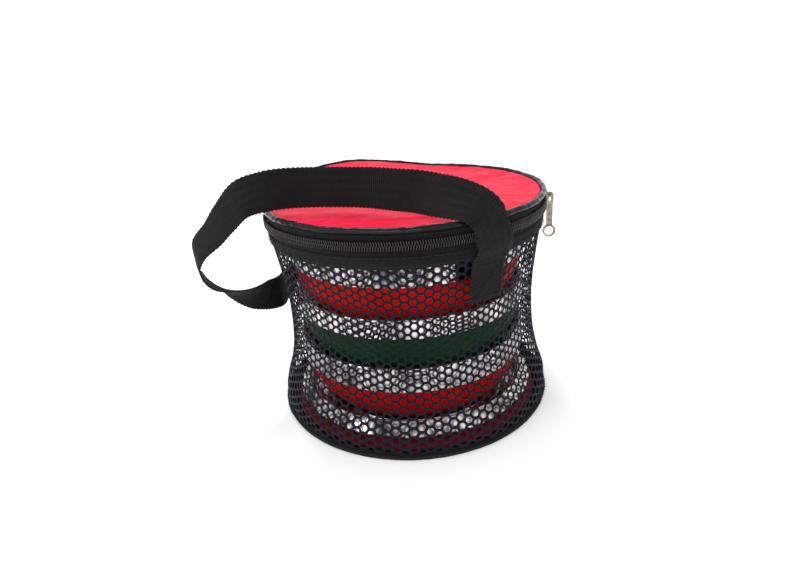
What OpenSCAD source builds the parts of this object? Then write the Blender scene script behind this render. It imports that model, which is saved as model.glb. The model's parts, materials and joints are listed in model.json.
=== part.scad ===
// Round zip-top mesh carry bag with a webbing strap, holding a nest of steel bowls on a dish.
// Z is up, the bag stands on Z = 0, its axis is the Z axis and its strap side faces -Y.

/* [Bag] */
// Radius of the lid's piping, to its centre line
rim_r = 95; // [90:1:100]
// Height of the lid's piping, to its centre line
rim_z = 150; // [148:1:151]
// Radius of the flat base panel
base_r = 97; // [95:1:98]
// Radius of the net wall at its waist
waist_r = 87; // [86:0.5:88]
// Thickness of the net wall
net_t = 1.0; // [0.8:0.1:1.2]
// Radius of the piping's cord
piping_r = 2; // [1.5:0.1:2]

/* [Lid hinge and zip] */
// Direction in which the lid's fabric hinge lies, in degrees from +X
hinge_dir = 35; // [35:1:40]
// Half of the arc that the fabric hinge takes, in degrees
hinge_half = 26; // [22:1:26]
// Direction of the slider when the zip is shut, in degrees from +X
slider_dir = -3; // [-8:1:-3]
// Width of each half of the zip's coil, along Z
coil_w = 2.6; // [2.2:0.1:2.6]
// Free height between the two halves of the coil
coil_gap = 1.0; // [0.9:0.1:1.2]
// Length of the pull, from its pivot to its lower end
pull_len = 30; // [28:1:33]

/* [Strap] */
// Direction of the strap's front end, in degrees from +X; its rear end is opposite
strap_dir = -61; // [-61:1:-61]
// Width of the webbing
strap_w = 25; // [20:1:25]
// Thickness of the webbing
strap_t = 1.6; // [1.2:0.1:1.8]

/* [Bowls] */
// Radius over a bowl's rolled rim
bowl_r = 82; // [78:0.5:82]
// Height of a bowl
bowl_h = 49; // [48:0.5:49]
// Height that each nested bowl adds to the stack
nest_pitch = 34; // [33:0.5:34]
// Height of the steel collar on the two upper bowls
collar_h = 13; // [12:0.5:15]
// Height of the steel collar on the lower bowl
deep_collar_h = 17; // [15:0.5:18]
// Thickness of the steel sheet
steel_t = 0.9; // [0.7:0.1:1]
// Radius over the dish's rolled rim
dish_r = 88; // [85:0.5:88]
// Height of the dish's rim above the ground
dish_top = 17.5; // [16:0.5:18]

/* [Hidden] */
$fn = 128;

// Colours
red_nylon = [0.90, 0.16, 0.28];
black_cloth = [0.07, 0.07, 0.09];
net_colour = [0.16, 0.16, 0.21];
nickel = [0.62, 0.60, 0.57];
steel = [0.80, 0.80, 0.80];
red_shell = [0.66, 0.03, 0.03];
green_shell = [0.05, 0.22, 0.07];

// Heights up the bag's side, from the ground
base_t = 1.5;
binding_h = 5;
net_bottom = binding_h + 0.1;
hem_bottom = rim_z - 23;
hem_top = rim_z - 14.5;
net_top = hem_bottom - 0.1;
zip_mid = rim_z - 8.5;
coil_low = zip_mid - coil_gap / 2 - coil_w;
coil_high = zip_mid + coil_gap / 2;
lid_bottom = rim_z - 0.6;
lid_t = 1.2;

// Radii around the zip
tape_in = rim_r - 0.8;
tape_t = 0.8;
coil_in = rim_r + 0.1;
coil_t = 2.2;
hinge_from = hinge_dir - hinge_half;
hinge_to = hinge_dir + hinge_half;
coil_start = slider_dir + 7;
stop_w = 2;
coil_arc = 360 - (hinge_to + 6 - coil_start);

// Slider and pull
slider_arc = 6.2;
plate_t = 1.0;
plate_in = rim_r + coil_t + 0.6;
plate_z0 = coil_low - 1.8;
plate_z1 = coil_high + coil_w + 1.4;
crown_r = plate_in + plate_t + 2.7;
crown_z = zip_mid;
crown_wire = 0.7;
crown_len = 7;
pull_t = 1.4;

// Sewn ends of the strap
strap_end_z = 99;
strap_end_half = 180 * strap_w / 2 / (PI * 93);
strap_dirs = [strap_dir, strap_dir + 180];

// Stack of bowls
lower_z = 7;
stack_z = [lower_z + 2 * nest_pitch, lower_z + nest_pitch, lower_z];
foot_r = 60;
ledge_z = nest_pitch - 0.2;

// Net wall: radius and height of each ring of its outline, from the foot to the hem
net_outline = [[base_r + 1.9, net_bottom], [base_r + 2.4, 10], [base_r + 1.4, 17], [base_r - 2, 25],
    [waist_r + 5, 36], [waist_r + 2, 49], [waist_r + 0.4, 64], [waist_r, 79], [waist_r + 1.2, 94],
    [waist_r + 3.6, 110], [rim_r - 1.8, net_top]];

// Strap: a point on its centre line, then the direction that its width takes there.
// It leaves the front end upwards, crosses the lid on its edge, turns over at the far left, comes
// back low down round the left side and curls over to the rear end.
strap_route = [
    [[46.8, -84.4, 128], [0.87, 0.48, 0]],
    [[48.5, -87.6, 136], [0.87, 0.48, 0]],
    [[46, -90, 146], [0.86, 0.5, 0]],
    [[43.5, -89.5, 154], [0.86, 0.5, 0.25]],
    [[37, -88, 159.6], [0.75, 0.46, 0.5]],
    [[28, -83.5, 162.4], [0.66, 0.3, 0.69]],
    [[18, -77, 163.6], [0.6, 0.1, 0.79]],
    [[7, -67.5, 164.4], [0.45, 0.08, 0.89]],
    [[-6, -59.5, 164.6], [0.28, 0.04, 0.96]],
    [[-19, -51.5, 164.9], [0.18, 0.02, 0.98]],
    [[-34, -46, 165.2], [0.12, 0, 0.99]],
    [[-57, -42.5, 166], [0.08, 0.08, 0.99]],
    [[-73, -43.5, 166.6], [0.02, 0.15, 0.98]],
    [[-86, -46, 166], [-0.1, 0.3, 0.95]],
    [[-101, -45, 162], [-0.35, 0.45, 0.8]],
    [[-114, -42, 150.5], [-0.55, 0.6, 0.5]],
    [[-123, -41, 141], [-0.6, 0.7, 0.35]],
    [[-134, -41, 131], [-0.55, 0.78, 0.2]],
    [[-137, -40, 121], [-0.4, 0.9, -0.1]],
    [[-135, -41, 112], [-0.4, 0.9, 0.05]],
    [[-129, -36, 102.5], [-0.35, 0.9, -0.2]],
    [[-118, -28, 94], [-0.15, 0.85, -0.6]],
    [[-107, -12, 85], [-0.05, 0.6, -0.85]],
    [[-99, 12, 77], [0, 0.35, -0.95]],
    [[-99, 46, 71], [0, 0.2, -1]],
    [[-93, 70, 76], [0.1, 0, -1]],
    [[-86, 88, 88], [0.3, 0.1, -0.9]],
    [[-77, 100, 106], [0.55, 0.25, -0.75]],
    [[-67, 105, 122], [0.75, 0.4, -0.45]],
    [[-59, 104, 133], [0.85, 0.47, -0.15]],
    [[-53, 97, 139], [0.87, 0.48, 0]],
    [[-49.5, 90, 137], [0.87, 0.48, 0]],
    [[-46.8, 84.4, 128], [0.87, 0.48, 0]]];
strap_steps = 3;

// ---------------------------------------------------------------- helpers

// A ring of rectangular section
module band(r_in, t, z0, z1, from = 0, arc = 360) {
    rotate([0, 0, from])
        rotate_extrude(angle = arc)
            translate([r_in, z0])
                square([t, z1 - z0]);
}

// Points on an arc of the given centre and radius
function arc_points(centre, r, a0, a1, n = 8) =
    [for (i = [0:n]) centre + r * [cos(a0 + (a1 - a0) * i / n), sin(a0 + (a1 - a0) * i / n)]];

// A length of webbing sewn flat against the wall, pointing along the given direction
module sewn_end(dir) {
    z_mid = (strap_end_z + hem_bottom) / 2;
    inner = [[waist_r + 3.0, strap_end_z], [waist_r + 5.5, z_mid], [rim_r - 0.2, hem_bottom]];
    outer = [for (i = [2:-1:0]) inner[i] + [strap_t, 0]];
    rotate([0, 0, dir - strap_end_half])
        rotate_extrude(angle = 2 * strap_end_half)
            polygon(concat(inner, outer));
}

// Catmull-Rom curve through four points
function curve(p0, p1, p2, p3, t) =
    0.5 * (2 * p1 + (p2 - p0) * t + (2 * p0 - 5 * p1 + 4 * p2 - p3) * t * t
        + (3 * p1 - p0 - 3 * p2 + p3) * t * t * t);
function unit(v) = v / norm(v);
function clamp_index(i) = max(0, min(len(strap_route) - 1, i));
function route_at(i, t, part) = curve(
    strap_route[clamp_index(i - 1)][part], strap_route[clamp_index(i)][part],
    strap_route[clamp_index(i + 1)][part], strap_route[clamp_index(i + 2)][part], t);

// ---------------------------------------------------------------- bag

module base_panel() {
    color(red_nylon)
        cylinder(r = base_r, h = base_t);
}

module base_binding() {
    color(black_cloth)
        rotate_extrude()
            polygon(concat([[base_r + 0.1, 0], [base_r + 1.6, 0]],
                arc_points([base_r + 1.6, 2.2], 1.6, -60, 60),
                [[base_r + 1.6, binding_h], [base_r + 0.1, binding_h]]));
}

module base_seam_tape() {
    color(black_cloth)
        band(base_r - 6, 5.8, base_t + 0.05, base_t + 0.45);
}

// Section of a layer that follows the net's outline, from one depth inside it to another
module net_layer(depth, t) {
    outer = [for (p = net_outline) p - [depth, 0]];
    inner = [for (i = [len(outer) - 1:-1:0]) outer[i] - [t, 0]];
    polygon(concat(outer, inner));
}

module net_wall() {
    color(net_colour)
        rotate_extrude()
            net_layer(0, net_t);
}

module side_seam_tape() {
    color(black_cloth)
        rotate([0, 0, hinge_dir + 60])
            rotate_extrude(angle = 5)
                net_layer(net_t + 0.1, 0.6);
}

module top_hem() {
    color(black_cloth)
        rotate_extrude()
            polygon([[rim_r - 2.6, hem_bottom], [rim_r - 0.6, hem_bottom], [rim_r + 0.2, hem_bottom + 3],
                [rim_r + 0.2, hem_top], [rim_r - 1.6, hem_top]]);
}

module zip_tape_lower() {
    color(black_cloth)
        band(tape_in, tape_t, hem_top + 0.05, coil_low + 1.4);
}

module zip_coil_lower() {
    color(black_cloth)
        band(coil_in, coil_t, coil_low, coil_low + coil_w, coil_start - coil_arc, coil_arc);
}

module hinge_ribbon() {
    color(black_cloth)
        band(rim_r + 0.25, 0.8, hem_top + 0.3, rim_z - piping_r - 0.2, hinge_from, 2 * hinge_half);
}

module zip_end_stops() {
    color(nickel)
        for (dir = [coil_start + 0.4, hinge_to + 3.2])
            band(coil_in, coil_t + 0.2, coil_low + 0.2, coil_low + coil_w, dir, stop_w);
}

module strap_end_front() {
    color(black_cloth)
        sewn_end(strap_dirs[0]);
}

module strap_end_rear() {
    color(black_cloth)
        sewn_end(strap_dirs[1]);
}

// One bar of thread at the top and one at the bottom of each sewn end
module strap_stitching() {
    color(black_cloth)
        for (dir = strap_dirs)
            for (z = [strap_end_z + 3, hem_bottom - 4])
                band(waist_r + 3.0 + strap_t + (z - strap_end_z) * 0.17 + 0.45, 0.6, z, z + 0.8,
                    dir - strap_end_half * 0.8, strap_end_half * 1.6);
}

// ---------------------------------------------------------------- lid

module lid_panel() {
    color(red_nylon)
        translate([0, 0, lid_bottom])
            cylinder(r = rim_r - piping_r - 0.1, h = lid_t);
}

module lid_piping() {
    color(black_cloth)
        rotate_extrude()
            translate([rim_r, rim_z])
                circle(r = piping_r, $fn = 24);
}

module lid_seam_tape() {
    color(black_cloth)
        band(rim_r - 6.5, 4.2, lid_bottom - 2.2, lid_bottom - 0.1);
}

module zip_tape_upper() {
    color(black_cloth)
        band(tape_in, tape_t, coil_high + 1.2, rim_z - piping_r - 0.1);
}

module zip_coil_upper() {
    color(black_cloth)
        band(coil_in, coil_t, coil_high, coil_high + coil_w, coil_start - coil_arc, coil_arc);
}

// ---------------------------------------------------------------- slider, pull and strap

// An outer and an inner plate joined by a post between the two halves of the coil, with a wire
// crown on the outer plate
module zip_slider() {
    from = slider_dir - slider_arc / 2;
    leg = crown_r - plate_in - plate_t + 0.3;
    color(nickel) {
        band(plate_in, plate_t, plate_z0, plate_z1, from, slider_arc);
        band(tape_in - 1.3, plate_t - 0.2, plate_z0 + 0.5, plate_z1 - 0.5, from, slider_arc);
        band(tape_in - 0.6, plate_in - tape_in + 0.7, zip_mid - 0.25, zip_mid + 0.25,
            slider_dir + 1.4, 1.4);
        band(rim_r + 0.6, 2.3, plate_z0, plate_z0 + 1, from, slider_arc);
        rotate([0, 0, slider_dir])
            translate([crown_r, 0, crown_z]) {
                rotate([90, 0, 0])
                    cylinder(r = crown_wire, h = crown_len, center = true);
                for (y = [-1, 1] * (crown_len / 2 - crown_wire))
                    translate([-leg, y, 0])
                        rotate([0, 90, 0])
                            cylinder(r = crown_wire, h = leg);
            }
    }
}

// A flat tab with a slot at its top for the crown and an open ring at its lower end
module zip_pull() {
    slot_r = crown_wire + 0.08;
    ring_r = 4.5;
    stem_foot = 2 * ring_r - 1.5 - pull_len;
    color(nickel)
        rotate([0, 0, slider_dir])
            translate([crown_r, pull_t / 2, crown_z])
                rotate([90, 0, 0])
                    linear_extrude(pull_t)
                        difference() {
                            union() {
                                circle(r = 2.4);
                                translate([-2.4, -6])
                                    square([4.8, 6]);
                                translate([-2.1, stem_foot])
                                    square([4.2, -4 - stem_foot]);
                                translate([0, -pull_len + ring_r])
                                    circle(r = ring_r);
                            }
                            circle(r = slot_r);
                            translate([-slot_r, -4])
                                square([2 * slot_r, 4]);
                            translate([0, -pull_len + ring_r])
                                circle(r = ring_r - 1.3);
                        }
}

module handle_strap() {
    last = len(strap_route) - 2;
    stations = concat([for (i = [0:last]) for (k = [0:strap_steps - 1]) [i, k / strap_steps]],
        [[last, 1]]);
    rings = [for (s = stations)
        let (p = route_at(s[0], s[1], 0),
            ahead = route_at(s[0], min(1, s[1] + 0.05), 0) - route_at(s[0], max(0, s[1] - 0.05), 0),
            along = unit(ahead),
            w = route_at(s[0], s[1], 1),
            side = unit(w - (w * along) * along),
            flat = cross(along, side))
        [p - side * strap_w / 2 - flat * strap_t / 2, p + side * strap_w / 2 - flat * strap_t / 2,
            p + side * strap_w / 2 + flat * strap_t / 2, p - side * strap_w / 2 + flat * strap_t / 2]];
    n = len(rings);
    points = [for (ring = rings) for (p = ring) p];
    sides = [for (i = [0:n - 2]) for (k = [0:3])
        let (a = 4 * i + k, b = 4 * i + (k + 1) % 4)
        each [[a, b + 4, b], [a, a + 4, b + 4]]];
    color(black_cloth)
        polyhedron(points = points,
            faces = concat([[0, 1, 2], [0, 2, 3]], sides,
                [[4 * n - 2, 4 * n - 3, 4 * n - 4], [4 * n - 1, 4 * n - 2, 4 * n - 4]]));
}

// ---------------------------------------------------------------- bowls

// Outside of the coloured shell at a height between the foot and the collar
function shell_r(z) = foot_r + (bowl_r - 1.2 - foot_r) * pow(sin(90 * min(1, z / 38)), 0.6);

// Steel liner: rolled rim, turned-down collar outside, stacking ledge and floor inside
module liner(z0, collar) {
    rim_c = [bowl_r - 1.4, bowl_h - 1.4];
    top = arc_points(rim_c, 1.4, 0, 180);
    collar_foot = bowl_h - collar;
    inside = [[bowl_r - 3.6, bowl_h - 4], [bowl_r - 8, ledge_z + 6], [bowl_r - 13, ledge_z + 1.5],
        [bowl_r - 15.5, ledge_z], [51, ledge_z], [49, ledge_z - 2], [46, 9], [42, 5.6], [36, 4.6],
        [0, 4.6]];
    outside = [for (p = [for (i = [len(inside) - 1:-1:1]) inside[i]])
        p[0] == 0 ? p - [0, steel_t] : p + [steel_t * 0.7, -steel_t]];
    color(steel)
        translate([0, 0, z0])
            rotate_extrude()
                polygon(concat([[bowl_r, collar_foot]], top, inside, outside,
                    [[bowl_r - 2.6, bowl_h - 6], [bowl_r - 1.8, bowl_h - 3],
                        [bowl_r - steel_t, bowl_h - 3], [bowl_r - steel_t, collar_foot]]));
}

// Coloured shell: its top edge is tucked behind the collar
module shell(z0, collar, colour) {
    wall = 1.4;
    edge_z = bowl_h - collar + 3;
    n = 14;
    z_at = [for (i = [0:n]) 1.5 + (edge_z - 1.5) * i / n];
    outside = [for (z = z_at) [min(shell_r(z), bowl_r - steel_t - 0.15), z]];
    inside = [for (i = [n:-1:1]) [outside[i][0] - wall, z_at[i]]];
    color(colour)
        translate([0, 0, z0])
            rotate_extrude()
                polygon(concat([[0, 0], [foot_r - 1.5, 0]], outside, inside,
                    [[foot_r - 2.5, 1.6], [0, 1.6]]));
}

module top_bowl_liner() liner(stack_z[0], collar_h);
module top_bowl_shell() shell(stack_z[0], collar_h, red_shell);
module middle_bowl_liner() liner(stack_z[1], collar_h);
module middle_bowl_shell() shell(stack_z[1], collar_h, green_shell);
module lower_bowl_liner() liner(stack_z[2], deep_collar_h);
module lower_bowl_shell() shell(stack_z[2], deep_collar_h, red_shell);

// A deep plate whose rim is turned over and slopes down outwards
module bottom_dish() {
    color(steel)
        rotate_extrude()
            polygon([[0, 5.8], [65, 5.8], [68, 2.1], [73, 2.1], [dish_r - 10.4, 3.2],
                [dish_r - 8.2, 6], [dish_r - 7.5, dish_top - 3], [dish_r - 6.4, dish_top - 1.9],
                [dish_r - 0.8, 8.6], [dish_r, 8.8], [dish_r - 0.1, 9.4],
                [dish_r - 5.6, dish_top - 1.2], [dish_r - 6.4, dish_top - 0.5],
                [dish_r - 7.3, dish_top - 0.5], [dish_r - 8.2, dish_top - 1.6],
                [dish_r - 8.5, dish_top - 3], [dish_r - 9.1, 6.4], [dish_r - 11, 4.1], [72.8, 3],
                [68.6, 3], [65.6, 6.7], [0, 6.7]]);
}

base_panel();
base_binding();
base_seam_tape();
net_wall();
side_seam_tape();
top_hem();
zip_tape_lower();
zip_coil_lower();
hinge_ribbon();
zip_end_stops();
strap_end_front();
strap_end_rear();
strap_stitching();
lid_panel();
lid_piping();
lid_seam_tape();
zip_tape_upper();
zip_coil_upper();
zip_slider();
zip_pull();
handle_strap();
top_bowl_liner();
top_bowl_shell();
middle_bowl_liner();
middle_bowl_shell();
lower_bowl_liner();
lower_bowl_shell();
bottom_dish();
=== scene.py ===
"""Looks of the round mesh carry bag with its nested bowls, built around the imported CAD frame."""
import json
from math import atan2, cos, degrees, pi, radians, sin, tau

import bpy
import numpy as np
from mathutils import Matrix, Vector


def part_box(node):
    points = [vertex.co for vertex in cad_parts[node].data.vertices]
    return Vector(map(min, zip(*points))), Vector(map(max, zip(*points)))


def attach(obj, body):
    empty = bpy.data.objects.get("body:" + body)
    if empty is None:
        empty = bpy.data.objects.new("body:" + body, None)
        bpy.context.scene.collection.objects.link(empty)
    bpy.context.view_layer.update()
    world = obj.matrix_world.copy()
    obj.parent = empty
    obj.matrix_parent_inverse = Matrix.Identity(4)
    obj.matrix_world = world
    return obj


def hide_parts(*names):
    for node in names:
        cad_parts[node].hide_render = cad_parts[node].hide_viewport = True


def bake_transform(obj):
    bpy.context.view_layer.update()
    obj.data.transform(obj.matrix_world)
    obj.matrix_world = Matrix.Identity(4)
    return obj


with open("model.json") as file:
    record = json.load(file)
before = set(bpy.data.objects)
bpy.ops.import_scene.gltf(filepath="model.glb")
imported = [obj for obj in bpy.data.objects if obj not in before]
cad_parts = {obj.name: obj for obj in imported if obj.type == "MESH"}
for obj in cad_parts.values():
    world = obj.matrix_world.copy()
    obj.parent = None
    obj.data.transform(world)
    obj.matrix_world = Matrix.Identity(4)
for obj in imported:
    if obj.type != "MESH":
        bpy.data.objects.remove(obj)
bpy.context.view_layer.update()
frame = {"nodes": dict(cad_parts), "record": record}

MM = 0.001
RIB = 1.35 * MM  # spacing of the webbing's ribs
SWAY, SWAY_DIR = 9 * MM, 122  # how much the rim stands up at the back left, and in which direction
joints = {j["name"]: j for j in frame["record"]["behaviour"]["joints"]}


def heights(node):
    low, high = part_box(node)
    return low.z, high.z


def outside(node):
    """The outer radius of a ring; every ring reaches the -X side."""
    return -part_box(node)[0].x


# ---------------------------------------------------------------- camera

camera = bpy.data.objects.new("camera", bpy.data.cameras.new("camera"))
camera.data.sensor_width = 36
camera.data.lens = 25.2
camera.location = (-0.0067, -0.386, 0.236)
look_down, roll = 21.8, -4.0
camera_turn = Matrix.Rotation(radians(90 - look_down), 3, "X") @ Matrix.Rotation(radians(roll), 3, "Z")
camera.rotation_euler = camera_turn.to_euler()
bpy.context.scene.collection.objects.link(camera)
bpy.context.scene.camera = camera

# ---------------------------------------------------------------- shaders


class Shader:
    """A Principled material and short ways to add nodes to it."""

    def __init__(self, name, **sockets):
        self.material = bpy.data.materials.new(name)
        self.material.use_nodes = True
        self.tree = self.material.node_tree
        self.base = self.tree.nodes["Principled BSDF"]
        for key, value in sockets.items():
            self.base.inputs[key.replace("_", " ")].default_value = value

    def node(self, kind, inputs=(), out=0, **settings):
        made = self.tree.nodes.new("ShaderNode" + kind)
        for key, value in settings.items():
            setattr(made, key, value)
        for key, value in dict(inputs).items():
            if isinstance(value, bpy.types.NodeSocket):
                self.tree.links.new(value, made.inputs[key])
            else:
                made.inputs[key].default_value = value
        return made.outputs[out]

    def math(self, operation, a, b=0.0):
        return self.node("Math", {0: a, 1: b}, operation=operation)

    def scaled(self, value, factor):
        return self.math("MULTIPLY", value, factor)

    def add(self, *terms):
        total = terms[0]
        for term in terms[1:]:
            total = self.math("ADD", total, term)
        return total

    def wave(self, along, pitch, phase=0.0):
        """A sine of the given pitch along a coordinate in metres."""
        return self.math("SINE", self.math("ADD", self.math("MULTIPLY", along, tau / pitch), phase))

    def xyz(self, coordinates):
        made = self.tree.nodes.new("ShaderNodeSeparateXYZ")
        self.tree.links.new(coordinates, made.inputs[0])
        return made.outputs

    def noise(self, where, scale, detail=3.0, roughness=0.5):
        inputs = {"Vector": where, "Scale": scale, "Detail": detail, "Roughness": roughness}
        return self.node("TexNoise", inputs)

    def stretched(self, where, factors):
        return self.node("VectorMath", {0: where, 1: factors}, operation="MULTIPLY")

    def between(self, factor, low, high):
        return self.node("MapRange", {0: factor, 1: 0.3, 2: 0.7, 3: low, 4: high})

    def mixed(self, factor, a, b):
        return self.node("Mix", {0: factor, 6: a, 7: b}, out=2, data_type="RGBA")

    def colour(self, factor, a, b):
        self.tree.links.new(self.mixed(factor, (*a, 1), (*b, 1)), self.base.inputs["Base Color"])

    def rough(self, value):
        self.tree.links.new(value, self.base.inputs["Roughness"])

    def bump(self, height, distance, strength=1.0):
        """distance is the relief in metres."""
        made = self.node("Bump", {"Height": height, "Distance": distance, "Strength": strength})
        self.tree.links.new(made, self.base.inputs["Normal"])

    def uv(self):
        return self.node("TexCoord", out=2)

    def place(self):
        return self.node("TexCoord", out=3)


def woven(name, dark, light, pitch, relief, sheen=0.03, twill=0.0, uv=True):
    """Plain or twill weave: pitch is the yarn spacing in metres, across and along."""
    s = Shader(name, Specular_IOR_Level=0.08, Sheen_Weight=sheen, Sheen_Roughness=0.45,
               Sheen_Tint=(1, 1, 1, 1))
    where = s.uv() if uv else s.place()
    part = s.xyz(where)
    across = s.wave(s.add(part[0], s.scaled(part[1], twill)), pitch)
    along = s.wave(part[1], pitch * 1.15, 0.6)
    weave = s.math("MULTIPLY", across, along)
    fuzz = s.noise(where, 2600, 2)
    patches = s.noise(where, 38, 4, 0.6)
    s.colour(s.add(s.scaled(weave, 0.14), s.between(patches, 0.15, 0.75), s.scaled(fuzz, 0.2)), dark, light)
    s.rough(s.between(s.noise(where, 190, 3), 0.62, 0.85))
    s.bump(s.add(weave, s.scaled(fuzz, 0.7), s.scaled(patches, 1.6)), relief)
    return s.material


def nylon(name, deep, bright):
    """Thin coated nylon: fine plain weave, soft crinkles and a pale sheen at low angles."""
    s = Shader(name, Specular_IOR_Level=0.09, Sheen_Weight=0.05, Sheen_Roughness=0.35,
               Sheen_Tint=(1.0, 0.55, 0.85, 1))
    where = s.place()
    part = s.xyz(where)
    weave = s.math("MULTIPLY", s.wave(part[0], 0.00062), s.wave(part[1], 0.00062))
    crinkle = s.noise(where, 46, 5, 0.62)
    broad = s.noise(where, 13, 2)
    s.colour(s.add(s.between(crinkle, 0.12, 0.62), s.scaled(weave, 0.10), s.scaled(broad, 0.35)),
             deep, bright)
    s.rough(s.between(s.noise(where, 85, 3), 0.36, 0.52))
    s.bump(s.add(s.scaled(weave, 0.05), crinkle), 0.0020, 0.9)
    return s.material


def net_yarn():
    """Knitted yarn, black with a faint blue."""
    s = Shader("net_yarn", Specular_IOR_Level=0.10, Sheen_Weight=0.03, Sheen_Roughness=0.4,
               Sheen_Tint=(0.75, 0.8, 1, 1))
    where = s.place()
    knit = s.noise(s.stretched(where, (1, 1, 2.6)), 1900, 2, 0.6)
    patches = s.noise(where, 30, 3)
    s.colour(s.add(s.scaled(knit, 0.5), s.between(patches, 0.0, 0.5)),
             (0.0018, 0.0017, 0.0036), (0.0085, 0.0080, 0.0150))
    s.rough(s.between(patches, 0.5, 0.68))
    s.bump(knit, 0.00035)
    return s.material


def webbing():
    """Ribbed webbing: weft ribs across the width and a fine herringbone in the warp."""
    s = Shader("webbing_weave", Specular_IOR_Level=0.11, Sheen_Weight=0.03, Sheen_Roughness=0.4)
    where = s.uv()
    part = s.xyz(where)
    chevron = s.math("ABSOLUTE", s.math("SUBTRACT", s.math("FRACT", s.math("DIVIDE", part[1], 0.0052)), 0.5))
    warp = s.wave(s.add(part[0], s.scaled(chevron, 0.0046)), RIB / 2)
    yarns = s.wave(part[1], 0.00082)
    ribs = s.wave(part[0], RIB, pi / 2)
    fuzz = s.noise(where, 2400, 2)
    patches = s.noise(where, 26, 4, 0.6)
    s.colour(s.add(s.between(patches, 0.0, 0.3), s.scaled(ribs, 0.30), s.scaled(warp, 0.10),
                   s.scaled(fuzz, 0.3)),
             (0.0014, 0.0012, 0.0015), (0.017, 0.0140, 0.0155))
    s.rough(s.between(s.noise(where, 150, 3), 0.52, 0.74))
    s.bump(s.add(warp, s.scaled(yarns, 0.7), s.scaled(fuzz, 0.6)), 0.00022)
    return s.material


def plastic(name, dark, light, roughness, relief, scale, specular):
    """Moulded plastic: cloudy colour and a fine grain, whose relief is in metres."""
    s = Shader(name, Specular_IOR_Level=specular)
    where = s.place()
    s.colour(s.between(s.noise(where, 34, 4, 0.6), 0.1, 0.9), dark, light)
    s.rough(s.between(s.noise(where, 120, 3), *roughness))
    s.bump(s.noise(where, scale, 4), relief)
    return s.material


def turned_steel():
    """Polished sheet steel with faint rings from turning, dull smears, and painted reflections: mauve and cream
    tints and dark clouds in its colour.
    """
    s = Shader("polished_steel_painted_reflections", Metallic=1.0)
    where = s.place()
    part = s.xyz(where)
    radius = s.math("SQRT", s.add(s.math("MULTIPLY", part[0], part[0]), s.math("MULTIPLY", part[1], part[1])))
    rings = s.noise(s.node("CombineXYZ", {0: radius, 1: part[2], 2: 0.0}), 2300, 3, 0.7)
    smear_and_reflection_noise = s.noise(s.stretched(where, (1, 1, 3)), 26, 5, 0.65)
    dark_reflection_noise = s.noise(s.stretched(where, (1, 1, 0.5)), 34, 4, 0.6)
    # Painted reflection: the base colour drifts between a mauve and a cream tint, while the same noise also
    # varies the roughness.
    painted_reflection_tint = s.mixed(s.between(smear_and_reflection_noise, 0.0, 1.0), (0.52, 0.47, 0.50, 1), (0.90, 0.87, 0.82, 1))
    # Painted reflection: dark patches in the base colour stand in for dark things mirrored in the steel.
    dark_reflection_mask = s.node("MapRange", {0: dark_reflection_noise, 1: 0.38, 2: 0.54, 3: 0.0, 4: 1.0})
    s.tree.links.new(s.mixed(dark_reflection_mask, (0.10, 0.09, 0.11, 1), painted_reflection_tint), s.base.inputs["Base Color"])
    s.rough(s.add(s.between(smear_and_reflection_noise, 0.14, 0.07), s.scaled(rings, 0.08)))
    s.bump(s.add(s.scaled(rings, 0.12), s.noise(where, 40, 2)), 0.00022)
    return s.material


def plated_metal():
    """Nickel plate, browned in patches and scuffed."""
    s = Shader("plated_zinc", Metallic=1.0)
    where = s.place()
    patches = s.noise(where, 240, 5, 0.65)
    scuffs = s.noise(s.stretched(where, (1, 1, 0.2)), 3400, 3, 0.7)
    s.colour(s.between(patches, 0.0, 1.0), (0.085, 0.058, 0.038), (0.36, 0.33, 0.28))
    s.rough(s.add(s.between(patches, 0.34, 0.2), s.scaled(scuffs, 0.14)))
    s.bump(s.add(scuffs, s.scaled(patches, 2.0)), 0.00006)
    return s.material


NYLON = nylon("red_nylon", (0.70, 0.002, 0.016), (0.93, 0.008, 0.070))
NET = net_yarn()
# Painted shade: the base is the same red nylon as the lid, given a darker colour for the shade it lies in.
SHADED_BASE_NYLON = nylon("base_nylon_painted_shade", (0.26, 0.003, 0.010), (0.38, 0.008, 0.030))
TAPE = woven("black_tape", (0.0018, 0.0016, 0.0020), (0.0085, 0.0072, 0.0085), 0.00075, 0.00016)
HEM = woven("hem_cloth", (0.0016, 0.0014, 0.0017), (0.0088, 0.0074, 0.0082), 0.0006, 0.00022, twill=0.5)
WEBBING = webbing()
PIPING = plastic("piping_vinyl", (0.0016, 0.0016, 0.0019), (0.004, 0.004, 0.005), (0.09, 0.16), 0.0007,
                 scale=260, specular=0.17)
COIL = plastic("coil_nylon", (0.0040, 0.0026, 0.0022), (0.013, 0.0085, 0.0070), (0.22, 0.32), 0.00006,
               scale=1500, specular=0.45)
THREAD = woven("sewing_thread", (0.006, 0.006, 0.007), (0.026, 0.025, 0.028), 0.0004, 0.00008,
               uv=False, sheen=0.05)
METAL = plated_metal()
STEEL = turned_steel()
RED = plastic("shell_red", (0.36, 0.0008, 0.0008), (0.50, 0.0020, 0.0020), (0.34, 0.48), 0.00009,
              scale=150, specular=0.06)
GREEN = plastic("shell_green", (0.002, 0.028, 0.006), (0.006, 0.052, 0.013), (0.34, 0.48), 0.00009,
                scale=150, specular=0.06)

# ---------------------------------------------------------------- mesh helpers


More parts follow.
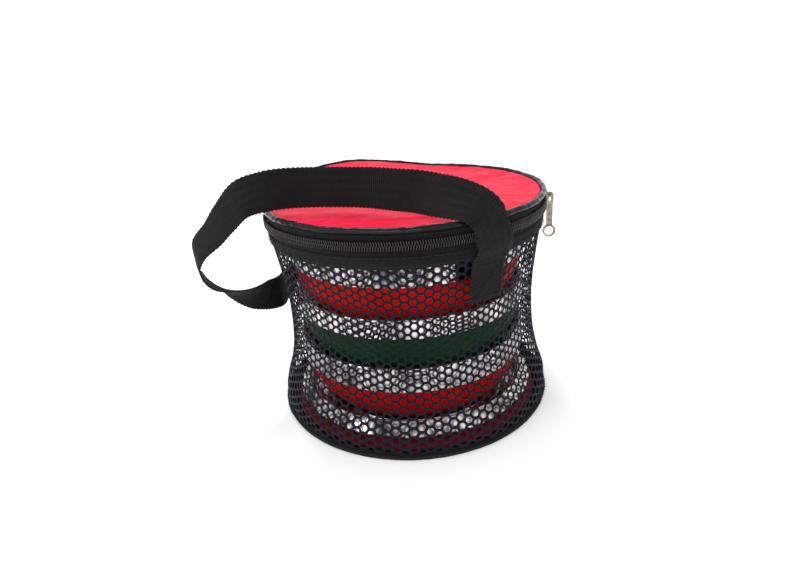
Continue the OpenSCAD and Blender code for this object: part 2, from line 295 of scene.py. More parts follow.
def finish_piece(name, points, faces, material, uvs=None, body=None, replaces=()):
    """Makes the object. Closed meshes are turned so that their faces look outwards."""
    faces = [list(map(int, f)) for f in faces]
    mesh = bpy.data.meshes.new(name)
    mesh.from_pydata(np.asarray(points, float).tolist(), [], faces)
    mesh.update()
    mesh.calc_loop_triangles()
    tri = np.zeros(len(mesh.loop_triangles) * 3, np.int32)
    mesh.loop_triangles.foreach_get("vertices", tri)
    a, b, c = np.asarray(points, float)[tri.reshape(-1, 3)].transpose(1, 0, 2)
    inside_out = (a * np.cross(b, c)).sum() < 0
    if inside_out:
        mesh.flip_normals()
    if uvs is not None:
        layer = mesh.uv_layers.new(name="cloth")
        flat = np.zeros((len(mesh.loops), 2), np.float32)
        start = 0
        for i, face in enumerate(faces):
            values = np.asarray(uvs[i]) if i < len(uvs) else np.zeros((len(face), 2))
            if inside_out:
                values = np.concatenate([values[:1], values[:0:-1]])
            flat[start:start + len(values)] = values
            start += len(values)
        layer.data.foreach_set("uv", flat.ravel())
    mesh.polygons.foreach_set("use_smooth", [True] * len(mesh.polygons))
    mesh.materials.append(material)
    piece = bpy.data.objects.new(name, mesh)
    bpy.context.scene.collection.objects.link(piece)
    if body:
        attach(piece, body)
    if replaces:
        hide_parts(*replaces)
    return piece


def sway(a, z):
    """How much higher the soft rim stands at the back left than all round."""
    rise = np.clip((z - 0.5 * rim_z) / (0.45 * rim_z), 0, 1)
    off = (np.degrees(a) - SWAY_DIR + 180) % 360 - 180
    off = np.clip(np.abs(off) / np.where(off < 0, 56, 70), 0, 1)
    return SWAY * np.cos(np.radians(off * 90)) ** 2 * rise ** 2 * (3 - 2 * rise)


def lattice(P, close_i=False, close_j=False, u=None, v=None, offset=0):
    """Quads over a grid of points, their UVs, and caps over its ends where i is open and j closed."""
    n, m = P.shape[:2]
    I, J = np.meshgrid(np.arange(n if close_i else n - 1), np.arange(m if close_j else m - 1), indexing="ij")
    I, J = I.ravel(), J.ravel()
    I2, J2 = (I + 1) % n, (J + 1) % m
    quads = np.stack([I * m + J, I2 * m + J, I2 * m + J2, I * m + J2], -1) + offset
    faces = quads.tolist()
    uvs = None
    if u is not None:
        steps = ((0, 0), (1, 0), (1, 1), (0, 1))
        uvs = list(np.stack([np.stack([u[I + i], v[J + j]], -1) for i, j in steps], 1))
    if close_j and not close_i:
        faces += [[offset + j for j in range(m)], [offset + (n - 1) * m + j for j in range(m - 1, -1, -1)]]
    return faces, uvs


def lengths(points, closed=True):
    """Distance along a line of points, starting at 0."""
    line = np.concatenate([points, points[:1]]) if closed else points
    return np.concatenate([[0], np.cumsum(np.linalg.norm(np.diff(line, axis=0), axis=1))])


def stadium(r_in, t, z0, z1, face=6):
    """Section of a standing tape with rounded edges: outer face upwards, then the inner one downwards."""
    h = t / 2
    up = np.linspace(z0 + h, z1 - h, face)
    arc = np.linspace(0, pi, 6)[1:-1]
    outer, inner = np.full(face, r_in + t), np.full(face, r_in)
    r = np.concatenate([outer, r_in + h + h * np.cos(arc), inner, r_in + h - h * np.cos(arc)])
    z = np.concatenate([up, z1 - h + h * np.sin(arc), up[::-1], z0 + h - h * np.sin(arc)])
    return np.stack([r, z], -1)


def flat_tape(r_in, width, z0, z1):
    """Section of a tape that lies flat, with rounded edges."""
    h, t = (z1 - z0) / 2, np.linspace(-pi / 2, pi / 2, 7)
    r = np.concatenate([r_in + width - h + h * np.cos(t), r_in + h - h * np.cos(t)])
    return np.stack([r, z0 + h + h * np.concatenate([np.sin(t), -np.sin(t)])], -1)


def ring_piece(name, section, material, body=None, start=0.0, arc=360.0, step=1.6 * MM, ripple=None,
               replaces=()):
    """A section of (radius, height) points turned round the axis; ripple moves it by (dr, dz)."""
    closed = arc >= 360
    size = section[:, 0].max()
    n = int(size * radians(arc) / step)
    angle = radians(start) + np.linspace(0, radians(arc), n, endpoint=not closed)
    A = angle[:, None] + 0 * section[None, :, 0]
    r, z = section[None, :, 0] + 0 * A, section[None, :, 1] + 0 * A
    if ripple:
        dr, dz = ripple(A, r, z)
        r, z = r + dr, z + dz
    P = np.stack([r * np.cos(A), r * np.sin(A), z + sway(A, z)], -1)
    u = size * np.append(angle, angle[-1] + (angle[1] - angle[0]))
    faces, uvs = lattice(P, closed, True, u, lengths(section))
    return finish_piece(name, P.reshape(-1, 3), faces, material, uvs, body, replaces)


def ruffle(amount, *terms):
    """A ripple round the ring: each term is (waves round, phase, share), in radius."""
    def at(A, r, z):
        total = sum(share * np.sin(k * A + phase) for k, phase, share in terms)
        return amount * total, 0.35 * amount * np.roll(total, 3, axis=0)
    return at


def tube(centres, radius, sides, toward):
    """A round tube along points: its grid of points, the first of each ring in the direction toward."""
    along = np.gradient(centres, axis=0)
    along /= np.linalg.norm(along, axis=1)[:, None]
    normal = toward - (toward * along).sum(1)[:, None] * along
    normal /= np.linalg.norm(normal, axis=1)[:, None]
    side = np.cross(along, normal)
    turn = np.linspace(0, tau, sides, endpoint=False)[None, :, None]
    radius = np.broadcast_to(radius, (len(centres),))[:, None, None]
    return centres[:, None] + radius * (np.cos(turn) * normal[:, None] + np.sin(turn) * side[:, None])


def stitches(name, line, normals, body, length=2.7 * MM, gap=0.9 * MM, thick=0.26 * MM, closed=True):
    """A row of thread stitches along a line of points; each dips into the cloth at its ends."""
    run = lengths(line, closed)
    total = run[-1]
    count = int(total / (length + gap))
    points, faces = [], []
    rings = 6
    shape = np.linspace(0, 1, rings)
    base = np.concatenate([line, line[:1]]) if closed else line
    up = np.concatenate([normals, normals[:1]]) if closed else normals
    for k in range(count):
        s = (k + 0.5) * total / count + (shape - 0.5) * length
        centre = np.stack([np.interp(s, run, base[:, i]) for i in range(3)], -1)
        lift = np.stack([np.interp(s, run, up[:, i]) for i in range(3)], -1)
        centre = centre + lift * (thick * (1.2 * np.sin(pi * shape) - 0.75))[:, None]
        P = tube(centre, thick * (0.55 + 0.45 * np.sin(pi * shape)), 6, lift)
        made = lattice(P, False, True, offset=6 * rings * k)[0]
        faces += made
        points.append(P.reshape(-1, 3))
    return finish_piece(name, np.concatenate(points), faces, THREAD, body=body)


def ring_line(r, z, ripple):
    """Points 0.8 mm apart round a circle, and their outward directions."""
    a = np.linspace(0, tau, int(r * tau / (0.8 * MM)), endpoint=False)
    dr, dz = ripple(a[:, None], r, z)
    rr, zz = r + dr[:, 0], z + dz[:, 0]
    zz = zz + sway(a, zz)
    return np.stack([rr * np.cos(a), rr * np.sin(a), zz], -1), np.stack([np.cos(a), np.sin(a), 0 * a], -1)


# ---------------------------------------------------------------- sizes from the frame

piping_low, piping_high = heights("lid_piping")
piping_r = (piping_high - piping_low) / 2
rim_z = (piping_high + piping_low) / 2
rim_r = outside("lid_piping") - piping_r
base_r = outside("base_panel")
base_t = heights("base_panel")[1]
binding_h = heights("base_binding")[1]
hem_low, hem_high = heights("top_hem")
hem_r = outside("top_hem")
net_low, net_high = heights("net_wall")
lower_low, lower_high = heights("zip_coil_lower")
upper_low, upper_high = heights("zip_coil_upper")
zip_mid = (lower_high + upper_low) / 2
coil_out = outside("zip_coil_lower")
TAPE_T = 0.8 * MM  # thickness of the zip's tapes and the hinge ribbon
hinge_at = joints["lid_hinge"]["pos_m"]
hinge_dir = degrees(atan2(hinge_at[1], hinge_at[0]))
crown_at = joints["pull_swing"]["pos_m"]
slider_dir = degrees(atan2(crown_at[1], crown_at[0]))
hinge_half = 26.0  # half of the hinge ribbon, in degrees of the rim
coil_start = slider_dir + 7
coil_arc = 360 - (hinge_dir + hinge_half + 6 - coil_start)

# ---------------------------------------------------------------- base


def cloth_disc(name, radius, z0, z1, relief, body, replaces, material, rings=46, spokes=180,
               flat_bottom=False):
    """A closed round sheet: relief(x, y) moves both its faces, or only the upper one."""
    rho = radius * np.linspace(0, 1, rings + 1)[1:] ** 0.85
    angle = np.linspace(0, tau, spokes, endpoint=False)
    Rr, A = np.meshgrid(rho, angle, indexing="ij")
    x, y = Rr * np.cos(A), Rr * np.sin(A)
    lift = relief(x, y)
    edge = np.clip((radius - Rr) / (0.8 * MM), 0, 1)
    half = (z1 - z0) / 2 * np.sqrt(np.clip(1 - (1 - edge) ** 2, 0.05, 1))
    middle = (z0 + z1) / 2
    top = np.stack([x, y, middle + half + lift], -1)
    low = np.stack([x, y, middle - half + (0 if flat_bottom else lift)], -1)
    centre_lift = float(relief(np.zeros(1), np.zeros(1))[0])
    P = np.concatenate([top, low[::-1]])
    # fans to the two centre points, in place of the lattice's caps
    faces = lattice(P, False, True)[0][:-2]
    n = P.shape[0] * spokes
    centres = [[0, 0, z1 + centre_lift], [0, 0, z0 + (0 if flat_bottom else centre_lift)]]
    points = np.concatenate([P.reshape(-1, 3), centres])
    faces += [[n, j, (j + 1) % spokes] for j in range(spokes)]
    last = (P.shape[0] - 1) * spokes
    faces += [[n + 1, last + (j + 1) % spokes, last + j] for j in range(spokes)]
    return finish_piece(name, points, faces, material, None, body, replaces)


def base_relief(x, y):
    r = np.hypot(x, y)
    fade = np.clip((base_r - r) / (10 * MM), 0, 1)
    waves = np.sin(95 * x + 60 * y) + 0.7 * np.sin(140 * y - 75 * x + 1.3) + 0.4 * np.sin(260 * x + 2.1)
    return 0.22 * MM * fade * waves - 0.25 * MM * fade


# The base cloth wears the darker copy of the red nylon, which is painted shade.
base_cloth = cloth_disc("base_cloth", base_r, 0.0, base_t, base_relief, "bag", ["base_panel"], SHADED_BASE_NYLON,
                        flat_bottom=True)

bind_ripple = ruffle(0.22 * MM, (11, 0.4, 0.5), (23, 1.9, 0.5), (57, 0.2, 0.35))
bulge = np.linspace(-1, 1, 9)
binding_section = np.concatenate([
    np.stack([base_r + 0.35 * MM + 0 * bulge[:4], np.linspace(binding_h - 0.5 * MM, 0.5 * MM, 4)], -1),
    [[base_r + 0.7 * MM, 0.06 * MM], [base_r + 1.7 * MM, 0.0], [base_r + 2.4 * MM, 0.25 * MM]],
    np.stack([base_r + (1.9 + 1.2 * np.cos(bulge * 1.25)) * MM,
              binding_h / 2 + bulge * (binding_h / 2 - 0.75 * MM)], -1),
    [[base_r + 1.7 * MM, binding_h - 0.1 * MM], [base_r + 0.9 * MM, binding_h]]])


def binding_ripple(A, r, z):
    dr, dz = bind_ripple(A, r, z)
    up = np.clip(z / binding_h, 0, 1)
    return dr * (0.35 + 0.65 * up) - 0.1 * MM, dz * up * 1.5


base_band = ring_piece("base_band", binding_section, HEM, "bag", ripple=binding_ripple,
                       replaces=["base_binding"])
stitches("base_stitches", *ring_line(base_r + 3.05 * MM, binding_h * 0.56, bind_ripple), "bag")

seam_low, seam_high = heights("base_seam_tape")
ring_piece("base_tape", flat_tape(base_r - 6 * MM, 5.8 * MM, seam_low, seam_high), TAPE, "bag",
           replaces=["base_seam_tape"])

# ---------------------------------------------------------------- net wall

# (radius, height) of the wall in millimetres, over the foot, the waist and the hem
foot_r, head_r = base_r / MM, rim_r / MM
net_shape = np.array([[foot_r + 1.2, 0.0], [foot_r + 1.9, 5.1], [foot_r + 2.4, 10], [foot_r + 1.4, 17],
                      [foot_r - 2, 25], [92, 36], [89, 49], [87.4, 64], [87, 79], [88.2, 94], [90.6, 110],
                      [head_r - 1.8, 126.9], [head_r - 1.4, 132]]) * MM


def net_radius(z):
    """The wall's mean radius at a height, smoothed between its given points."""
    return sum(np.interp(z + d * MM, net_shape[:, 1], net_shape[:, 0]) for d in (-4, -2, 0, 2, 4)) / 5


def net_fold(a, z):
    """How far the slack net stands off its mean outline."""
    t = np.clip((z - net_low) / (net_high - net_low), 0, 1)
    slack = np.sin(pi * t) ** 0.7
    wide = 0.8 * np.sin(5 * a + 1.1 + 2.2 * t) + 0.55 * np.sin(9 * a - 0.7 - 3.1 * t)
    wide = wide + 0.3 * np.sin(16 * a + 2.3 + 5 * t)
    gather = np.exp(-(net_high - z) / (9 * MM)) * np.sin(41 * a + 1.9 * np.sin(3 * a)) * 0.75
    foot = np.exp(-(z - net_low) / (9 * MM)) * np.sin(29 * a + 1.2 * np.sin(4 * a)) * 0.45
    return MM * (slack * wide + gather + foot)


def net_wall():
    """Knitted hexagonal net: each cell is a ring of yarn round a hole, sharing its edges with others."""
    columns, rise = 116, 5.45 * MM
    first, last = net_low - 2.2 * MM, net_high + 3.2 * MM
    rows = int((last - first) / rise)
    rise = (last - first) / rows
    # one cell: 6 corners and 6 mid-sides, in units of column pitch and row rise
    corner = np.array([[2 / 3, 0], [1 / 3, 0.5], [-1 / 3, 0.5], [-2 / 3, 0], [-1 / 3, -0.5], [1 / 3, -0.5]])
    edge = np.stack([corner, (corner + np.roll(corner, -1, 0)) / 2], 1).reshape(-1, 2)
    turn = np.arctan2(edge[:, 1] * rise, edge[:, 0] * 4.9 * MM)
    oval = np.stack([0.54 * np.cos(turn), 0.42 * np.sin(turn)], -1)
    hole = 0.25 * oval + 0.49 * edge
    between = edge + 0.62 * (hole - edge)
    rings = [(edge, 0.40), (between, 0.30), (hole, 0.0), (between, -0.30), (edge, -0.40)]
    col, row = np.meshgrid(np.arange(columns), np.arange(rows), indexing="ij")
    centre = np.stack([col, row + 0.5 * (col % 2)], -1).reshape(-1, 1, 2).astype(float)
    keys, grid_uv, depth = [], [], []
    # the holes close up where the net is gathered into the hem and the foot
    height = centre[..., 1] * rise
    close = np.exp(-(height / (13 * MM)) ** 2) + np.exp(-((last - first - height) / (9 * MM)) ** 2)
    for layer, (ring, d) in enumerate(rings):
        at = centre + edge[None] + (ring - edge)[None] * (1 + 0.9 * 0.42 * close[..., None])
        keys.append(np.concatenate([np.round(at * 600).astype(int), np.full(at.shape[:2] + (1,), layer)], -1))
        grid_uv.append(at)
        depth.append(np.full(at.shape[:2], d * MM))
    key, at, depth = (np.stack(x, 1) for x in (keys, grid_uv, depth))
    key[..., 0] %= columns * 600
    unique, back = np.unique(key.reshape(-1, 3), axis=0, return_inverse=True)
    back = back.reshape(key.shape[:3])
    first_of = np.zeros(len(unique), int)
    first_of[back.ravel()] = np.arange(back.size)
    at, depth = at.reshape(-1, 2)[first_of], depth.ravel()[first_of]
    a = at[:, 0] * tau / columns
    z = first + at[:, 1] * rise
    # the slack knit drifts a little round and up
    a = a + 0.5 * MM / rim_r * (np.sin(4 * a + 40 * z) + 0.8 * np.sin(11 * a - 70 * z + 1))
    free = np.clip(np.sin(pi * np.clip((z - first) / (last - first), 0, 1)), 0, 1)
    z = z + 0.7 * MM * (np.sin(6 * a + 1.4) + 0.6 * np.sin(13 * a + 45 * z)) * free
    radius = net_radius(z) - 0.5 * MM + net_fold(a, z) + depth
    points = np.stack([radius * np.cos(a), radius * np.sin(a), z + sway(a, z)], -1)
    faces = []
    for layer in range(4):
        near, far = back[:, layer], back[:, layer + 1]
        faces.append(np.stack([near, np.roll(near, -1, 1), np.roll(far, -1, 1), far], -1).reshape(-1, 4))
    return points, np.concatenate(faces)


net_points, net_faces = net_wall()
net = finish_piece("net_knit", net_points, net_faces, NET, None, "bag", ["net_wall"])


def seam_tape():
    """A narrow tape that follows the inside of the net where its two ends are sewn together."""
    z = np.linspace(net_low + 1 * MM, net_high - 1 * MM, 90)
    across = np.linspace(-2.5, 2.5, 5)
    Z, A = np.meshgrid(z, radians(hinge_dir + 62.5) + radians(1) * across, indexing="ij")
    sides = []
    for shift in (-1.25 * MM, -1.8 * MM):
        r = net_radius(Z) + net_fold(A, Z) + shift
        sides.append(np.stack([r * np.cos(A), r * np.sin(A), Z + sway(A, Z)], -1))
    P = np.concatenate([sides[0], sides[1][:, ::-1]], 1)
    v = np.concatenate([across, across[::-1], across[:1]]) * MM
    faces, uvs = lattice(P, False, True, np.append(z, z[-1]), v)
    return finish_piece("net_seam", P.reshape(-1, 3), faces, TAPE, uvs, "bag",
                        ["side_seam_tape"])


seam_tape()

# ---------------------------------------------------------------- hem and zip

hem_wave = ruffle(0.30 * MM, (7, 0.3, 0.6), (19, 1.2, 0.5), (43, 2.2, 0.35))


def hem_ripple(A, r, z):
    dr, dz = hem_wave(A, r, z)
    low = np.clip((hem_high - z) / (hem_high - hem_low), 0, 1)
    puckers = 0.28 * MM * np.sin(61 * A + 1.5 * np.sin(5 * A)) * low
    return dr * low + puckers, dz * low


up = np.linspace(0, 1, 8)
hem_section = np.concatenate([
    np.stack([hem_r - (0.9 * (1 - up) ** 2 + 0.05) * MM + 0.35 * MM * np.sin(pi * up),
              hem_low + (0.4 + 7.6 * up) * MM], -1),
    [[hem_r - 0.5 * MM, hem_high], [hem_r - 1.5 * MM, hem_high - 0.05 * MM]],
    np.stack([hem_r - (1.8 + 0.9 * up) * MM, hem_high - (0.5 + 7.4 * up) * MM], -1),
    [[hem_r - 2.4 * MM, hem_low + 0.1 * MM], [hem_r - 1.5 * MM, hem_low - 0.1 * MM]]])
hem = ring_piece("hem_band", hem_section, HEM, "bag", ripple=hem_ripple, replaces=["top_hem"], step=1.1 * MM)
stitches("hem_stitches", *ring_line(hem_r + 0.25 * MM, hem_low + 2.2 * MM, hem_ripple), "bag")
stitches("hem_stitches_upper", *ring_line(hem_r + 0.12 * MM, hem_high - 1.4 * MM, hem_ripple), "bag")

tape_wave = ruffle(0.10 * MM, (9, 0.7, 0.6), (31, 0.5, 0.4))
for half, body in (("lower", "bag"), ("upper", "lid")):
    ring_piece("zip_cloth_" + half, stadium(rim_r - TAPE_T, TAPE_T, *heights("zip_tape_" + half)), TAPE, body,
               ripple=tape_wave, replaces=["zip_tape_" + half], step=1.2 * MM)
ring_piece("lid_seam_cloth", flat_tape(rim_r - 6.5 * MM, 5.4 * MM, *heights("lid_seam_tape")), HEM, "lid",
           ripple=tape_wave, replaces=["lid_seam_tape"])


def coil(name, edge_z, head_z, shift, body, node):
    """Moulded coil of one half of the zip: flattened turns that reach from the tape to the middle."""
    pitch, wire, per_turn = 1.5 * MM, 0.34 * MM, 12
    r_mid = coil_out - 1.1 * MM
    turns = int(radians(coil_arc) * r_mid / pitch) - 1
    t = np.linspace(0, tau * turns, turns * per_turn + 1)
    across = np.sign(np.cos(t)) * np.abs(np.cos(t)) ** 0.8
    deep = np.sign(np.sin(t)) * np.abs(np.sin(t)) ** 0.8
    a = radians(coil_start) - (t / tau + 0.5 + shift) * pitch / r_mid
    lift = sway(a, zip_mid)
    z = (edge_z + head_z) / 2 + across * (head_z - edge_z) / 2 + lift
    r = r_mid + deep * 0.78 * MM
    centres = np.stack([r * np.cos(a), r * np.sin(a), z], -1)
    axis = np.stack([r_mid * np.cos(a), r_mid * np.sin(a), lift + (edge_z + head_z) / 2], -1)
    P = tube(centres, wire, 6, centres - axis)
    faces = lattice(P, False, True)[0]
    return finish_piece(name, P.reshape(-1, 3), faces, COIL, None, body, [node])


def coil_core(name, low, high, body):
    """The cord that the turns are wound round."""
    arc = coil_arc + 4
    ring_piece(name, stadium(coil_out - 2.0 * MM, 0.7 * MM, low, high, face=3), TAPE, body,
               start=coil_start - arc, arc=arc)


coil_core("zip_core_lower", lower_low + 0.5 * MM, zip_mid - 0.05 * MM, "bag")
coil_core("zip_core_upper", zip_mid + 0.05 * MM, upper_high - 0.5 * MM, "lid")
coil("zip_turns_lower", lower_low + 0.34 * MM, zip_mid + 0.28 * MM, 0.0, "bag", "zip_coil_lower")
coil("zip_turns_upper", upper_high - 0.34 * MM, zip_mid - 0.28 * MM, 0.5, "lid", "zip_coil_upper")

ribbon_low, ribbon_high = heights("hinge_ribbon")
ribbon = ring_piece("hinge_cloth", stadium(rim_r + 0.25 * MM, TAPE_T, ribbon_low, ribbon_high, face=16), HEM,
                    start=hinge_dir - hinge_half, arc=2 * hinge_half, ripple=tape_wave,
                    replaces=["hinge_ribbon"])
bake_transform(ribbon)

# ---------------------------------------------------------------- lid

panel_low, panel_high = heights("lid_panel")
panel_r = outside("lid_panel")
# Each crease: its middle in millimetres, its direction in radians and its height
LID_CREASES = ((18, -71, -0.34, 1.5), (-22, -74, 0.05, 1.1), (-52, -64, 0.5, 0.9),
               (66, 28, 0.5, 1.5), (40, 52, 0.9, 0.9), (-20, 55, 2.7, 0.8))


def lid_relief(x, y):
    """Slack in the lid: broad waves, short puckers at the edge, and a few creases."""
    r, a = np.hypot(x, y), np.arctan2(y, x)
    edge = np.clip(r / panel_r, 0, 1)
    free = np.clip((panel_r - r) / (7 * MM), 0, 1)
    broad = 0.7 * np.sin(38 * x + 21 * y + 0.6) + 0.5 * np.sin(46 * y - 30 * x + 2.2) - 0.9 * (1 - edge ** 2)
    puckers = edge ** 5 * (0.42 * np.sin(23 * a + 1.4 * np.sin(3 * a)) + 0.25 * np.sin(47 * a + 2.1))
    crease = 0
    for cx, cy, turn, size in LID_CREASES:
        dx, dy = x - cx * MM, y - cy * MM
        along = dx * cos(turn) + dy * sin(turn)
        off = -dx * sin(turn) + dy * cos(turn) + 6 * along ** 2
        ridge = np.exp(-(off / (2.6 * MM)) ** 2) - 0.6 * np.exp(-((off - 5 * MM) / (4 * MM)) ** 2)
        crease = crease + size * ridge * np.exp(-(along / (24 * MM)) ** 2)
    return MM * free * (broad + 1.3 * puckers + crease) + sway(a, rim_z) * edge ** 1.6


lid_cloth = cloth_disc("lid_cloth", panel_r, panel_low, panel_high, lid_relief, "lid", ["lid_panel"], NYLON,
                       rings=80, spokes=320)


def piping():
    """Covered cord round the lid, with its two ends crossed at the back."""
    overlap, taper, sides = 0.055, 0.22, 14
    s = np.linspace(-overlap, tau + overlap, 900)
    a = radians(hinge_dir + 20) + s
    end_a = np.clip(1 - (s + overlap) / taper, 0, 1) ** 2
    end_b = np.clip(1 - (tau + overlap - s) / taper, 0, 1) ** 2
    r = rim_r + MM * (0.12 * np.sin(17 * a) + 0.08 * np.sin(41 * a + 1) + 1.0 * end_a - 1.9 * end_b)
    uneven = 0.16 * np.sin(13 * a + 0.5) + 0.10 * np.sin(37 * a) - 1.1 * end_a + 0.9 * end_b
    z = rim_z + sway(a, rim_z) + MM * uneven
    wall = piping_r * (0.95 + 0.035 * np.sin(53 * a) + 0.02 * np.sin(97 * a + 1))
    wall = wall * (1 - 0.35 * end_a - 0.25 * end_b)
    centres = np.stack([r * np.cos(a), r * np.sin(a), z], -1)
    P = tube(centres, wall, sides, np.stack([np.cos(a), np.sin(a), 0 * a], -1))
    u = rim_r * np.append(s, s[-1])
    faces, uvs = lattice(P, False, True, u, np.linspace(0, tau * piping_r, sides + 1))
    return finish_piece("piping_cord", P.reshape(-1, 3), faces, PIPING, uvs, "lid",
                        ["lid_piping"])


piping()
lid_seam_z = heights("zip_tape_upper")[1] - 1.1 * MM
stitches("lid_stitches", *ring_line(rim_r + 0.12 * MM, lid_seam_z, tape_wave), "lid",
         length=2.4 * MM, thick=0.2 * MM)

# ---------------------------------------------------------------- strap

# Centre line and width direction, the same route as the CAD's, in millimetres
strap_route = np.array([
    [46.8, -84.4, 128, 0.87, 0.48, 0], [48.5, -87.6, 136, 0.87, 0.48, 0], [46, -90, 146, 0.86, 0.5, 0],
    [43.5, -89.5, 154, 0.86, 0.5, 0.25], [37, -88, 159.6, 0.75, 0.46, 0.5], [28, -83.5, 162.4, 0.66, 0.3, 0.69],
    [18, -77, 163.6, 0.6, 0.1, 0.79], [7, -67.5, 164.4, 0.45, 0.08, 0.89], [-6, -59.5, 164.6, 0.28, 0.04, 0.96],
    [-19, -51.5, 164.9, 0.18, 0.02, 0.98], [-34, -46, 165.2, 0.12, 0, 0.99], [-57, -42.5, 166, 0.08, 0.08, 0.99],
    [-73, -43.5, 166.6, 0.02, 0.15, 0.98], [-86, -46, 166, -0.1, 0.3, 0.95], [-101, -45, 162, -0.35, 0.45, 0.8],
    [-114, -42, 150.5, -0.55, 0.6, 0.5], [-123, -41, 141, -0.6, 0.7, 0.35], [-134, -41, 131, -0.55, 0.78, 0.2],
    [-137, -40, 121, -0.4, 0.9, -0.1], [-135, -41, 112, -0.4, 0.9, 0.05], [-129, -36, 102.5, -0.35, 0.9, -0.2],
    [-118, -28, 94, -0.15, 0.85, -0.6], [-107, -12, 85, -0.05, 0.6, -0.85], [-99, 12, 77, 0, 0.35, -0.95],
    [-99, 46, 71, 0, 0.2, -1], [-93, 70, 76, 0.1, 0, -1], [-86, 88, 88, 0.3, 0.1, -0.9],
    [-77, 100, 106, 0.55, 0.25, -0.75], [-67, 105, 122, 0.75, 0.4, -0.45], [-59, 104, 133, 0.85, 0.47, -0.15],
    [-53, 97, 139, 0.87, 0.48, 0], [-49.5, 90, 137, 0.87, 0.48, 0], [-46.8, 84.4, 128, 0.87, 0.48, 0]])
strap_w, strap_t = 25 * MM, 1.6 * MM


def smooth_route(route):
    """Catmull-Rom curve through the route's rows, with 40 points to a row."""
    rows = np.concatenate([route[:1], route, route[-1:]])
    t = np.linspace(0, 1, 40, endpoint=False)[:, None]
    made = []
    for i in range(len(route) - 1):
        p0, p1, p2, p3 = rows[i:i + 4]
        square, cube = 2 * p0 - 5 * p1 + 4 * p2 - p3, 3 * p1 - p0 - 3 * p2 + p3
        made.append(0.5 * (2 * p1 + (p2 - p0) * t + square * t ** 2 + cube * t ** 3))
    return np.concatenate(made + [route[-1:]])


def webbing_piece(name, line, width_dir, body=None, replaces=(), bow=0.0):
    """Ribbed webbing along a line in metres: weft ribs, selvedges, a scalloped edge, and its length."""
    run = lengths(line, False)
    s = np.arange(0, run[-1], RIB / 4)
    centre = np.stack([np.interp(s, run, line[:, i]) for i in range(3)], -1)
    wide = np.stack([np.interp(s, run, width_dir[:, i]) for i in range(3)], -1)
    along = np.gradient(centre, axis=0)
    along /= np.linalg.norm(along, axis=1)[:, None]
    wide = wide - (wide * along).sum(1)[:, None] * along
    wide /= np.linalg.norm(wide, axis=1)[:, None]
    flat = np.cross(along, wide)
    x = np.sin(np.linspace(-pi / 2, pi / 2, 21)) * 0.35 + np.linspace(-1, 1, 21) * 0.65
    wave = np.cos(tau * s / RIB)
    half_w = strap_w / 2 - 0.15 * MM + 0.24 * MM * np.cos(pi * s / RIB)
    rounded = 0.62 * np.clip((np.abs(x) - 0.93) / 0.07, 0, 1) ** 2
    selvedge = 1 - 0.10 * np.exp(-((np.abs(x) - 0.84) / 0.05) ** 2) - rounded
    lane = 0.04 * np.cos(tau * x * strap_w / 2 / (2.6 * MM))
    half_t = strap_t / 2 * (selvedge[None] * (0.86 + 0.14 * wave[:, None]) + lane[None] * selvedge[None])
    across = half_w[:, None] * x[None]
    sag = -bow * (x[None] ** 2) * (strap_w / 2) ** 2
    middle = centre[:, None] + wide[:, None] * across[..., None]
    top = middle + flat[:, None] * (half_t + sag)[..., None]
    low = middle + flat[:, None] * (-half_t + sag)[..., None]
    P = np.concatenate([top, low[:, ::-1]], 1)
    v = np.concatenate([x, x[::-1], x[:1]]) * strap_w / 2
    faces, uvs = lattice(P, False, True, np.append(s, s[-1]), v)
    return finish_piece(name, P.reshape(-1, 3), faces, WEBBING, uvs, body, replaces), run[-1]


path = smooth_route(strap_route)
path[:, 2] += sway(np.arctan2(path[:, 1], path[:, 0]), path[:, 2] * MM) / MM * np.clip(path[:, 1] / 60, 0, 1)
strap, strap_length = webbing_piece("strap_webbing", path[:, :3] * MM, path[:, 3:], replaces=["handle_strap"])
strap_dir = -61
# the loop lies to the left of the line through its sewn ends: it is free 40 mm from that line
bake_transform(strap)


def tab_radius(share):
    """Radius of a sewn end in millimetres, from its lower edge (0) to its upper one (1)."""
    return 90.8 + 4.8 * share + 0.35 * np.sin(7 * share)


def sewn_end(name, direction, node):
    """The end of the webbing, sewn flat over the net and the hem, with a box of stitches."""
    low, high = heights(node)
    a = radians(direction)
    out = np.array([cos(a), sin(a), 0])
    side = np.array([-sin(a), cos(a), 0])
    up_z = np.array([0, 0, 1])
    z = np.linspace(low, high + 1.5 * MM, 12)
    share = (z - low) / (high - low)
    line = out[None] * tab_radius(share)[:, None] * MM + up_z[None] * (z + sway(a, z))[:, None]
    tab = webbing_piece(name, line[::-1], np.repeat(side[None], 12, 0), "bag", [node], bow=6.0)[0]
    # a box with a cross in it, as (across, above the tab's lower edge) in millimetres
    corners = [(-9.5, 3), (9.5, 3), (9.5, 24), (-9.5, 24), (-9.5, 3), (9.5, 24), (9.5, 3), (-9.5, 24)]
    points = []
    for (x0, z0), (x1, z1) in zip(corners[:-1], corners[1:]):
        for t in np.linspace(0, 1, 14, endpoint=False):
            x, height = x0 + (x1 - x0) * t, low + (z0 + (z1 - z0) * t) * MM
            radius = tab_radius((height - low) / (high - low)) + 0.98 - 0.006 * x * x
            points.append((out * radius + side * x) * MM + up_z * (height + sway(a, height)))
    return stitches(name + "_stitches", np.array(points), np.repeat(out[None], len(points), 0), "bag",
                    length=2.2 * MM, gap=0.5 * MM, closed=False)


front_box = sewn_end("strap_tab_front", strap_dir, "strap_end_front")
sewn_end("strap_tab_rear", strap_dir + 180, "strap_end_rear")
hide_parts("strap_stitching")

# ---------------------------------------------------------------- carried-over CAD parts

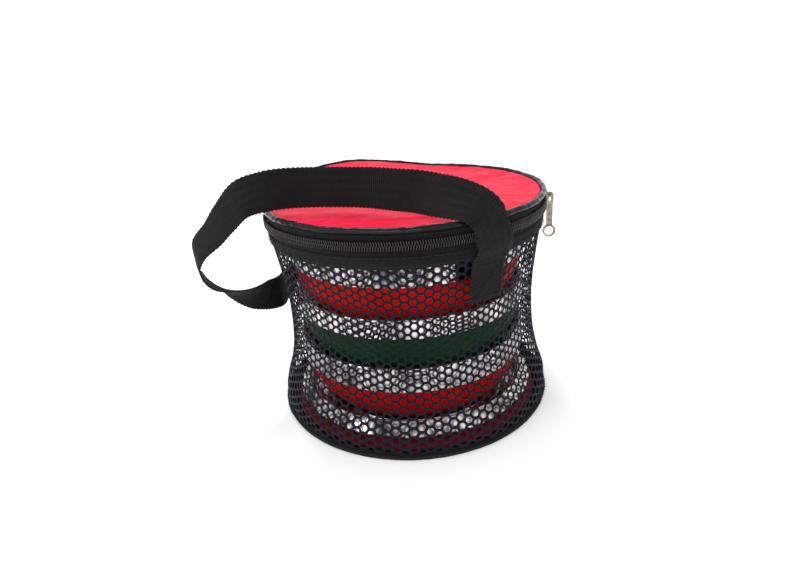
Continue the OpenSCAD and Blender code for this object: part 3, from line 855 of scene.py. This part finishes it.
for node, material in {
        "zip_slider": METAL, "zip_pull": METAL, "zip_end_stops": METAL, "bottom_dish": STEEL,
        "top_bowl_liner": STEEL, "middle_bowl_liner": STEEL, "lower_bowl_liner": STEEL,
        "top_bowl_shell": RED, "middle_bowl_shell": GREEN, "lower_bowl_shell": RED}.items():
    part = frame["nodes"][node]
    if not part.material_slots:
        part.data.materials.append(material)
    for held in part.material_slots:
        held.material = material

# ---------------------------------------------------------------- floor and light

floor_shader = Shader("paper_floor", Specular_IOR_Level=0.1)
floor_where = floor_shader.place()
floor_shader.colour(floor_shader.noise(floor_where, 3, 3), (0.965, 0.965, 0.968), (0.985, 0.985, 0.988))
floor_shader.rough(floor_shader.between(floor_shader.noise(floor_where, 60, 2), 0.85, 0.95))
disc = np.array([[6 * cos(a), 6 * sin(a), 0] for a in np.linspace(0, tau, 64, endpoint=False)])
floor_mesh = bpy.data.meshes.new("floor")
floor_mesh.from_pydata(disc.tolist(), [], [list(range(64))])
floor_mesh.materials.append(floor_shader.material)
floor = bpy.data.objects.new("floor", floor_mesh)
bpy.context.scene.collection.objects.link(floor)


def area_light(name, place, target, size, power):
    light = bpy.data.lights.new(name, "AREA")
    light.shape = "RECTANGLE"
    light.size, light.size_y = size
    light.energy = power
    made = bpy.data.objects.new(name, light)
    made.location = place
    made.rotation_euler = (Vector(target) - Vector(place)).to_track_quat("-Z", "Y").to_euler()
    bpy.context.scene.collection.objects.link(made)


area_light("key_above", (-0.15, 0.55, 1.15), (0, 0, 0.1), (0.4, 0.16), 5)
area_light("front_low", (-0.25, -1.15, 0.36), (0, 0, 0.08), (0.9, 0.35), 6)
area_light("fill_left", (-1.1, -0.7, 0.75), (0, 0, 0.08), (0.5, 0.7), 3)

world = bpy.data.worlds.new("studio")
bpy.context.scene.world = world
world.use_nodes = True
tree = world.node_tree
sky = tree.nodes["Background"]
sky.inputs[0].default_value = (1, 1, 1, 1)
sky.inputs[1].default_value = 0.90
seen = tree.nodes.new("ShaderNodeBackground")
seen.inputs[0].default_value = (1, 1, 1, 1)
seen.inputs[1].default_value = 1.0
ray = tree.nodes.new("ShaderNodeLightPath")
mix = tree.nodes.new("ShaderNodeMixShader")
tree.links.new(ray.outputs["Is Camera Ray"], mix.inputs[0])
tree.links.new(sky.outputs[0], mix.inputs[1])
tree.links.new(seen.outputs[0], mix.inputs[2])
tree.links.new(mix.outputs[0], tree.nodes["World Output"].inputs[0])

bpy.context.scene.view_settings.view_transform = "Standard"
bpy.context.scene.view_settings.exposure = 0.24

bpy.context.view_layer.update()
